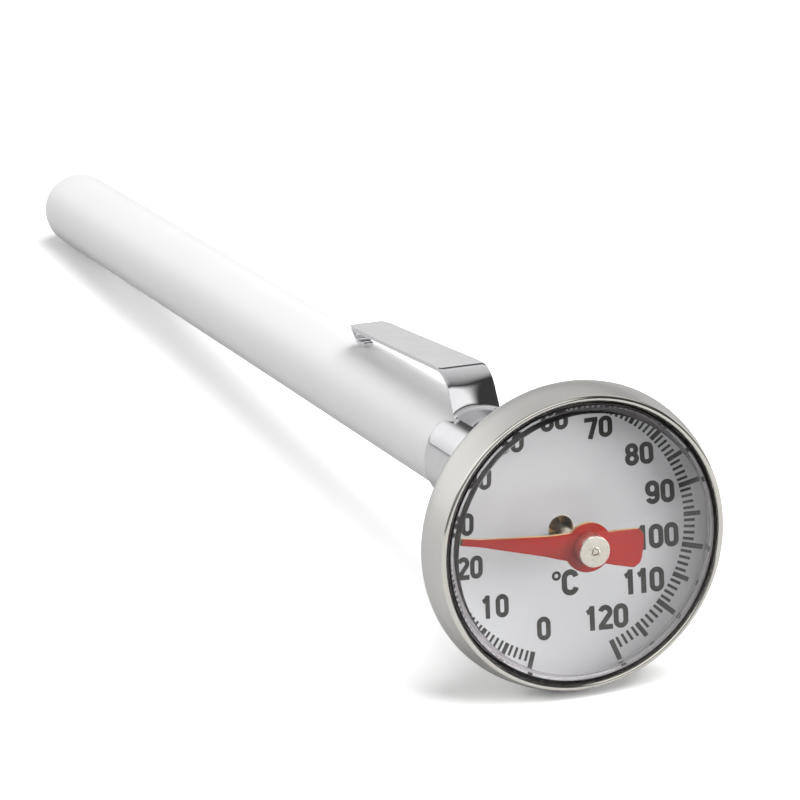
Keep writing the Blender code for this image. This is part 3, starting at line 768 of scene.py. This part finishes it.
def build_staked_end():
    """The spindle's end, spread over the hub by a punch: a ragged lip round an off-centre dent."""
    cage = bmesh.new()
    rows = []
    for step, (radius, depth) in enumerate(STAKED_RINGS):
        ragged = 0.0 if step < STAKED_ROUND_RINGS else 1.0
        row = []
        for k in range(STAKED_SIDES):
            turn = 2 * math.pi * k / STAKED_SIDES
            wobble = sum(share * math.sin(waves * turn + phase) for waves, share, phase in STAKED_WAVES)
            reach = radius * (1.0 + ragged * wobble)
            slip = STAKED_SLIP * ragged
            lift = STAKED_LIFT * ragged * math.sin(STAKED_LIFT_WAVES * turn + step)
            row.append(cage.verts.new((reach * math.cos(turn) + slip, reach * math.sin(turn), depth + lift)))
        rows.append(row)
    for outer, inner in zip(rows, rows[1:]):
        for k in range(STAKED_SIDES):
            after = (k + 1) % STAKED_SIDES
            cage.faces.new((outer[k], outer[after], inner[after], inner[k]))
    cage.faces.new(rows[-1])
    bmesh.ops.translate(cage, vec=(0, 0, HUB_FRONT), verts=cage.verts)
    bmesh.ops.recalc_face_normals(cage, faces=cage.faces)
    for face in cage.faces:
        if face.calc_center_median().xy.length < DENT_R:
            face.material_index = 1
    finish_piece("staked_end_shown", cage, [nickel, tarnish], "movement", ["pointer_hub"])


# ---------------------------------------------------------------- stem, sheath and clip

PLUG_R = 1.5
PLUG_LENGTH = 1.5
PLUG_GAP = 0.02
PLUG_NOSE = 0.1
SHEATH_LIP = 0.3
SHEATH_RINGS = 24
BORE_END_WALL = 1.0
# Corners of the clip's side view as (depth, height over the sheath's axis), from its root in the band to
# the curl, and how far each of the four bends reaches from its corner
CLIP_CORNERS = [(24.6, BAND_MIDDLE_R), (25.65, BAND_MIDDLE_R), (27.9, 7.9), (54.1, 6.50), (54.5, 4.62),
                (52.9, 4.66)]
CLIP_BENDS = [0.55, 2.1, 1.6, 0.9]
CLIP_STEP = 0.2
LAST_STEP_SHARE = 0.3    # what is left at the end is dropped if it is a smaller share of a step
CLIP_ROOT_DEPTH = CLIP_CORNERS[0][0]
CLIP_ROOT_ANGLE = math.asin(CLIP_ROOT_WIDTH / 2 / BAND_MIDDLE_R)
CLIP_NOTCH_ANGLE = 0.07
ROOT_COLUMNS = 7
BAND_COLUMNS = 40
BAND_ROWS = 16
SHOULDER_ROWS = 5
SHOULDER_LENGTH = 1.1
SHOULDER_LEAST = 0.25
POST_FLAT_HEIGHT = 3.0   # the post has lost the band's curve this far above it
POST_BACK = 30.0         # all of the strip behind this depth is flat
TAPER_START = 28.0
TAPER_END = 53.0
CLIP_END_ROUNDING = 5.0  # the strip narrows over this length at its end, down to the share below
CLIP_END_SHARE = 0.25
CLIP_BEVEL = 0.09
ANGLE_TOLERANCE = 1e-6


def build_stem():
    tube = box_profile(STEM_BORE_R, STEM_R, STEM_FRONT, STEM_BACK)
    turned("stem_tube_shown", tube, drawn_steel, "stem", ["stem_tube"], STEM_ROUND)
    plug_front = STEM_BACK - PLUG_LENGTH
    plug_back = STEM_BACK + PLUG_GAP
    plug = [(0.0, plug_front), (PLUG_R, plug_front), (PLUG_R, plug_back)]
    plug += arc(0.0, plug_back, STEM_R, start=0.0, end=90.0, steps=16)[:-1]
    plug += [(0.0, STEM_BACK + PLUG_NOSE + STEM_R)]
    turned("tip_plug_shown", plug, drawn_steel, "stem", ["tip_plug"], STEM_ROUND)


def build_sheath():
    """The moulded sheath: a tube with a rounded mouth, a slight taper and a domed end."""
    tip_centre = SHEATH_TIP - SHEATH_TIP_R
    bore_end = tip_centre - BORE_END_WALL
    start = SHEATH_MOUTH + SHEATH_LIP
    outside = arc(SHEATH_MOUTH_R - SHEATH_LIP, start, SHEATH_LIP, start=-90.0, end=0.0, steps=6)
    for i in range(1, SHEATH_RINGS):
        t = i / SHEATH_RINGS
        r = SHEATH_MOUTH_R + (SHEATH_TIP_R - SHEATH_MOUTH_R) * t
        outside.append((r, start + (tip_centre - start) * t))
    outside += arc(0.0, tip_centre, SHEATH_TIP_R, start=0.0, end=90.0, steps=28)[:-1]
    outside.append((0.0, SHEATH_TIP))
    bore = [(0.0, bore_end + SHEATH_BORE_TIP_R)]
    bore += arc(0.0, bore_end, SHEATH_BORE_TIP_R, start=90.0, end=0.0, steps=12)[1:]
    bore += arc(SHEATH_BORE_R + SHEATH_LIP, start, SHEATH_LIP, start=180.0, end=270.0, steps=5)
    turned("sheath_tube_shown", bore + outside, plastic, "sheath", ["sheath_tube"],
           axis=SHEATH_AXIS)


def rounded_path(points, reaches):
    """A path with each inner corner replaced by an arc-like bend of the given reach."""
    out = [Vector(points[0])]
    for i in range(1, len(points) - 1):
        here = Vector(points[i])
        before = Vector(points[i - 1]) - here
        after = Vector(points[i + 1]) - here
        reach = min(reaches[i - 1], before.length * BEND_SHARE, after.length * BEND_SHARE)
        first = here + before.normalized() * reach
        last = here + after.normalized() * reach
        for k in range(BEND_STEPS + 1):
            t = k / BEND_STEPS
            out.append(first * (1 - t) ** 2 + here * 2 * t * (1 - t) + last * t**2)
    out.append(Vector(points[-1]))
    return out


def even_steps(path, spacing):
    """The path sampled at even distances."""
    out = [path[0]]
    carry = 0.0
    for a, b in zip(path, path[1:]):
        length = (b - a).length
        travelled = spacing - carry
        while travelled <= length:
            out.append(a.lerp(b, travelled / length))
            travelled += spacing
        carry = (carry + length) % spacing
    if (out[-1] - path[-1]).length > spacing * LAST_STEP_SHARE:
        out.append(path[-1])
    return out


def eased_share(t):
    """0 to 1, starting and ending slowly."""
    return t * t * (3 - 2 * t)


def band_angles():
    """Angles of the band's columns from the middle of the clip's root; a notch stands beside the root."""
    half_angle = math.pi - math.asin(BAND_SLIT / 2 / BAND_MIDDLE_R)
    angles = [CLIP_ROOT_ANGLE * k / ROOT_COLUMNS for k in range(ROOT_COLUMNS + 1)]
    past_notch = CLIP_ROOT_ANGLE + CLIP_NOTCH_ANGLE
    angles += [past_notch + (half_angle - past_notch) * (k / BAND_COLUMNS) for k in range(BAND_COLUMNS + 1)]
    return [-angle for angle in reversed(angles[1:])] + angles


def band_point(angle, z):
    return (BAND_MIDDLE_R * math.sin(angle), -BAND_MIDDLE_R * math.cos(angle), z)


def draw_band(cage, angles):
    """The band from its front edge back to the clip's root; returns its last row."""
    rows = []
    for i in range(BAND_ROWS + 1):
        z = BAND_FRONT + (CLIP_ROOT_DEPTH - BAND_FRONT) * i / BAND_ROWS
        rows.append([cage.verts.new(band_point(angle, z)) for angle in angles])
    for low, high in zip(rows, rows[1:]):
        for j in range(len(angles) - 1):
            cage.faces.new((low[j], low[j + 1], high[j + 1], high[j]))
    return rows[-1]


def draw_shoulders(cage, angles, root_row):
    """The band runs on past the clip's root on both sides, with a rounded shoulder."""
    columns = {}
    for j, angle in enumerate(angles):
        if abs(angle) <= CLIP_ROOT_ANGLE + CLIP_NOTCH_ANGLE / 2:
            continue
        past = (abs(angle) - CLIP_ROOT_ANGLE - CLIP_NOTCH_ANGLE) * BAND_MIDDLE_R
        short = max(0.0, 1.0 - past / SHOULDER_LENGTH)
        reach = (BAND_BACK - CLIP_ROOT_DEPTH) * math.sqrt(max(0.0, 1.0 - short**2))
        reach = max(reach, SHOULDER_LEAST)
        columns[j] = [root_row[j]]
        for k in range(1, SHOULDER_ROWS + 1):
            z = CLIP_ROOT_DEPTH + reach * k / SHOULDER_ROWS
            columns[j].append(cage.verts.new(band_point(angle, z)))
    for j, column in columns.items():
        if j + 1 not in columns:
            continue
        beside = columns[j + 1]
        for k in range(SHOULDER_ROWS):
            cage.faces.new((column[k], beside[k], beside[k + 1], column[k + 1]))


def draw_arm(cage, angles, root_row):
    """The post and arm carry on from the middle of the band and lose its curve by the top corner."""
    path = even_steps(rounded_path(CLIP_CORNERS, CLIP_BENDS), CLIP_STEP)
    centre = [j for j, angle in enumerate(angles) if abs(angle) <= CLIP_ROOT_ANGLE + ANGLE_TOLERANCE]
    total = sum((b - a).length for a, b in zip(path, path[1:]))
    previous = [root_row[j] for j in centre]
    done = 0.0
    for a, b in zip(path, path[1:]):
        done += (b - a).length
        z, h = b
        rise = min(1.0, max(0.0, (h - BAND_MIDDLE_R) / POST_FLAT_HEIGHT)) if z < POST_BACK else 1.0
        curve = 1.0 - eased_share(rise)
        taper = max(0.0, (z - TAPER_START) / (TAPER_END - TAPER_START))
        width = CLIP_ROOT_WIDTH + (CLIP_END_WIDTH - CLIP_ROOT_WIDTH) * min(1.0, taper)
        near_end = min(1.0, (total - done) / CLIP_END_ROUNDING)
        width *= CLIP_END_SHARE + (1.0 - CLIP_END_SHARE) * eased_share(near_end)
        current = []
        for j in centre:
            x = BAND_MIDDLE_R * math.sin(angles[j]) * width / CLIP_ROOT_WIDTH
            drop = (BAND_MIDDLE_R - math.sqrt(BAND_MIDDLE_R**2 - x**2)) * curve
            current.append(cage.verts.new((x, -(h - drop), z)))
        for k in range(len(centre) - 1):
            cage.faces.new((previous[k], previous[k + 1], current[k + 1], current[k]))
        previous = current


def build_clip():
    """One sheet: a split band round the sheath, a post bent up from it, and the long sprung arm."""
    angles = band_angles()
    cage = bmesh.new()
    root_row = draw_band(cage, angles)
    draw_shoulders(cage, angles, root_row)
    draw_arm(cage, angles, root_row)
    bmesh.ops.recalc_face_normals(cage, faces=cage.faces)
    clip = finish_piece("pocket_clip_shown", cage, [chrome], "clip", ["pocket_clip"],
                        axis=SHEATH_AXIS)
    sheet = clip.modifiers.new("sheet", "SOLIDIFY")
    sheet.thickness = CLIP_SHEET * MM
    sheet.offset = 0.0
    sheet.use_even_offset = True
    ease_edges(clip, CLIP_BEVEL, segments=3)


def dress_frame():
    """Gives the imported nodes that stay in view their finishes."""
    finishes = {
        "dial_seat_ring": ring_steel, "case_seal": rubber, "stem_collar": brass,
        "friction_washer": drawn_steel, "calibration_nut": drawn_steel, "upper_bush": brass,
        "middle_bush": brass, "coil_anchor": brass, "spindle": nickel, "coil_collar": brass,
        "bimetal_coil": bimetal,
    }
    for name, finish in finishes.items():
        node = frame["nodes"][name]
        node.data.materials.clear()
        node.data.materials.append(finish)


# ---------------------------------------------------------------- stage

FLOOR_SEEN = 1.15        # how bright the floor is to the camera: above 1, so that it fades to white
FLOOR_HALF = 3.0
FLOOR_CELLS = 8
FLOOR_DROP = 0.00002
# Each lamp: name, place, the point it is turned to, its width and height, and its watts
LAMPS = [
    ("key", (0.22, -0.26, 0.82), (0, 0, 0), (0.8, 0.8), 9.8),
    ("front_right", (0.72, -0.66, 0.27), (0, -0.07, 0.01), (0.36, 0.36), 6.6),
    ("left_fill", (-0.75, 0.10, 0.40), (0, 0, 0.01), (0.5, 0.5), 3.6),
]
# The room as bright metal sees it: (height from straight down to straight up, brightness)
ROOM_BEHIND_LEFT = [(0.0, 0.30), (0.48, 0.70), (0.60, 1.0), (0.80, 1.0), (1.0, 0.46)]
ROOM_BEHIND = [(0.0, 0.30), (0.48, 0.70), (0.66, 0.80), (0.69, 0.07), (0.74, 0.06), (0.78, 0.76), (1.0, 0.5)]
ROOM_FRONT_LEFT = [(0.0, 0.08), (0.55, 0.14), (0.68, 0.30), (0.73, 1.0), (0.90, 1.0), (0.93, 0.04),
                   (0.98, 0.46)]
ROOM_FRONT_RIGHT = [(0.0, 0.05), (0.62, 0.06), (0.94, 0.04), (0.98, 0.46)]
# Where one side of the room shades into the other: (start, end) along X or Y of the direction
EDGE_BEHIND = (-0.28, -0.12)
EDGE_FRONT = (0.25, 0.45)
EDGE_FRONT_TO_BACK = (-0.25, 0.30)
ROOM_FILL = 0.38         # how much of the room's light reaches surfaces that don't mirror it
# The photograph's camera: degrees, millimetres of lens, and how many millimetres the head lies to the
# right of the view's middle, below it and away from the camera
CAMERA_AZIMUTH = 21.268
CAMERA_ELEVATION = 18.998
CAMERA_LENS = 176.2
CAMERA_SENSOR = 36.0
CAMERA_RIGHT = 15.950
CAMERA_BELOW = 12.497
CAMERA_AWAY = 337.565
CAMERA_NEAREST = 0.01


def floor_material():
    """Pale paper. It is lit up for the camera, so that only the close shadows show, as on a light table."""
    paper = surface("floor_paper", (0.43, 0.43, 0.43), (0.42, 0.42, 0.42), (0.7, 0.8),
                    cells=0.5, patch=0.01, bump=0.01)
    nodes = paper.node_tree.nodes
    links = paper.node_tree.links
    path = nodes.new("ShaderNodeLightPath")
    seen = nodes.new("ShaderNodeBsdfDiffuse")
    seen.inputs["Color"].default_value = (FLOOR_SEEN, FLOOR_SEEN, FLOOR_SEEN, 1.0)
    mix = nodes.new("ShaderNodeMixShader")
    links.new(path.outputs["Is Camera Ray"], mix.inputs["Fac"])
    links.new(nodes["Principled BSDF"].outputs["BSDF"], mix.inputs[1])
    links.new(seen.outputs["BSDF"], mix.inputs[2])
    links.new(mix.outputs["Shader"], nodes["Material Output"].inputs["Surface"])
    return paper


def build_floor():
    cage = bmesh.new()
    bmesh.ops.create_grid(cage, x_segments=FLOOR_CELLS, y_segments=FLOOR_CELLS, size=FLOOR_HALF)
    mesh = bpy.data.meshes.new("floor")
    cage.to_mesh(mesh)
    cage.free()
    floor = bpy.data.objects.new("floor", mesh)
    bpy.context.scene.collection.objects.link(floor)
    floor.location = (0, 0, -FLOOR_DROP)
    mesh.materials.append(floor_material())


def add_light(name, location, target, size, power):
    """A soft lamp that lights the scene but isn't mirrored by it; the room is mirrored in its place."""
    data = bpy.data.lights.new(name, "AREA")
    data.shape = "RECTANGLE"
    data.size, data.size_y = size
    data.energy = power
    lamp = bpy.data.objects.new(name, data)
    lamp.location = location
    lamp.rotation_euler = (Vector(target) - Vector(location)).to_track_quat("-Z", "Y").to_euler()
    lamp.visible_glossy = False
    bpy.context.scene.collection.objects.link(lamp)


def room_shades(nodes, links, height, stops):
    """One wall of the room, as a ramp of greys over the height of the direction."""
    shades = nodes.new("ShaderNodeValToRGB")
    while len(shades.color_ramp.elements) < len(stops):
        shades.color_ramp.elements.new(0.5)
    for element, (place, bright) in zip(shades.color_ramp.elements, stops):
        element.position = place
        element.color = (bright, bright, bright, 1.0)
    links.new(height, shades.inputs["Fac"])
    return shades.outputs["Color"]


def mixed_room(nodes, links, direction, edge, first, second):
    """One side of the room shading into the other where the direction passes the edge."""
    across = nodes.new("ShaderNodeMapRange")
    across.interpolation_type = "SMOOTHSTEP"
    across.inputs["From Min"].default_value = edge[0]
    across.inputs["From Max"].default_value = edge[1]
    links.new(direction, across.inputs["Value"])
    mix = nodes.new("ShaderNodeMix")
    mix.data_type = "RGBA"
    links.new(across.outputs["Result"], mix.inputs["Factor"])
    links.new(first, mix.inputs["A"])
    links.new(second, mix.inputs["B"])
    return mix.outputs["Result"]


def build_world():
    """A room that is pale behind the thermometer, white to the front left and dark to the front right."""
    world = bpy.data.worlds.new("studio")
    bpy.context.scene.world = world
    world.use_nodes = True
    nodes = world.node_tree.nodes
    links = world.node_tree.links
    coordinates = nodes.new("ShaderNodeTexCoord")
    split = nodes.new("ShaderNodeSeparateXYZ")
    links.new(coordinates.outputs["Generated"], split.inputs[0])
    height = nodes.new("ShaderNodeMapRange")
    height.inputs["From Min"].default_value = -1.0
    links.new(split.outputs["Z"], height.inputs["Value"])
    behind_left, behind, left, right = [
        room_shades(nodes, links, height.outputs["Result"], stops)
        for stops in (ROOM_BEHIND_LEFT, ROOM_BEHIND, ROOM_FRONT_LEFT, ROOM_FRONT_RIGHT)
    ]
    behind = mixed_room(nodes, links, split.outputs["X"], EDGE_BEHIND, behind_left, behind)
    front = mixed_room(nodes, links, split.outputs["X"], EDGE_FRONT, left, right)
    whole = mixed_room(nodes, links, split.outputs["Y"], EDGE_FRONT_TO_BACK, front, behind)
    links.new(whole, nodes["Background"].inputs["Color"])
    path = nodes.new("ShaderNodeLightPath")
    sheen = math_node(nodes, links, "MAXIMUM", path.outputs["Is Glossy Ray"], path.outputs["Is Camera Ray"])
    strength = nodes.new("ShaderNodeMapRange")
    strength.inputs["To Min"].default_value = ROOM_FILL
    links.new(sheen, strength.inputs["Value"])
    links.new(strength.outputs["Result"], nodes["Background"].inputs["Strength"])


def build_camera():
    heading = math.radians(CAMERA_AZIMUTH)
    tilt = math.radians(CAMERA_ELEVATION)
    level = math.cos(tilt)
    forward = Vector((math.sin(heading) * level, math.cos(heading) * level, -math.sin(tilt)))
    right = Vector((math.cos(heading), -math.sin(heading), 0))
    up = right.cross(forward)
    data = bpy.data.cameras.new("camera")
    data.lens = CAMERA_LENS
    data.sensor_width = CAMERA_SENSOR
    data.clip_start = CAMERA_NEAREST
    camera = bpy.data.objects.new("camera", data)
    offset = -CAMERA_RIGHT * right + CAMERA_BELOW * up - CAMERA_AWAY * forward
    place = STEM_AXIS.translation + offset * MM
    camera.matrix_world = Matrix.Translation(place) @ Matrix((right, up, -forward)).transposed().to_4x4()
    bpy.context.scene.collection.objects.link(camera)
    bpy.context.scene.camera = camera


build_case()
build_crystal()
build_inside_rings()
build_dial()
build_pointer()
build_staked_end()
build_stem()
build_sheath()
build_clip()
dress_frame()
build_floor()
build_world()
build_camera()
for lamp in LAMPS:
    add_light(*lamp)
bpy.context.scene.view_settings.view_transform = "Standard"
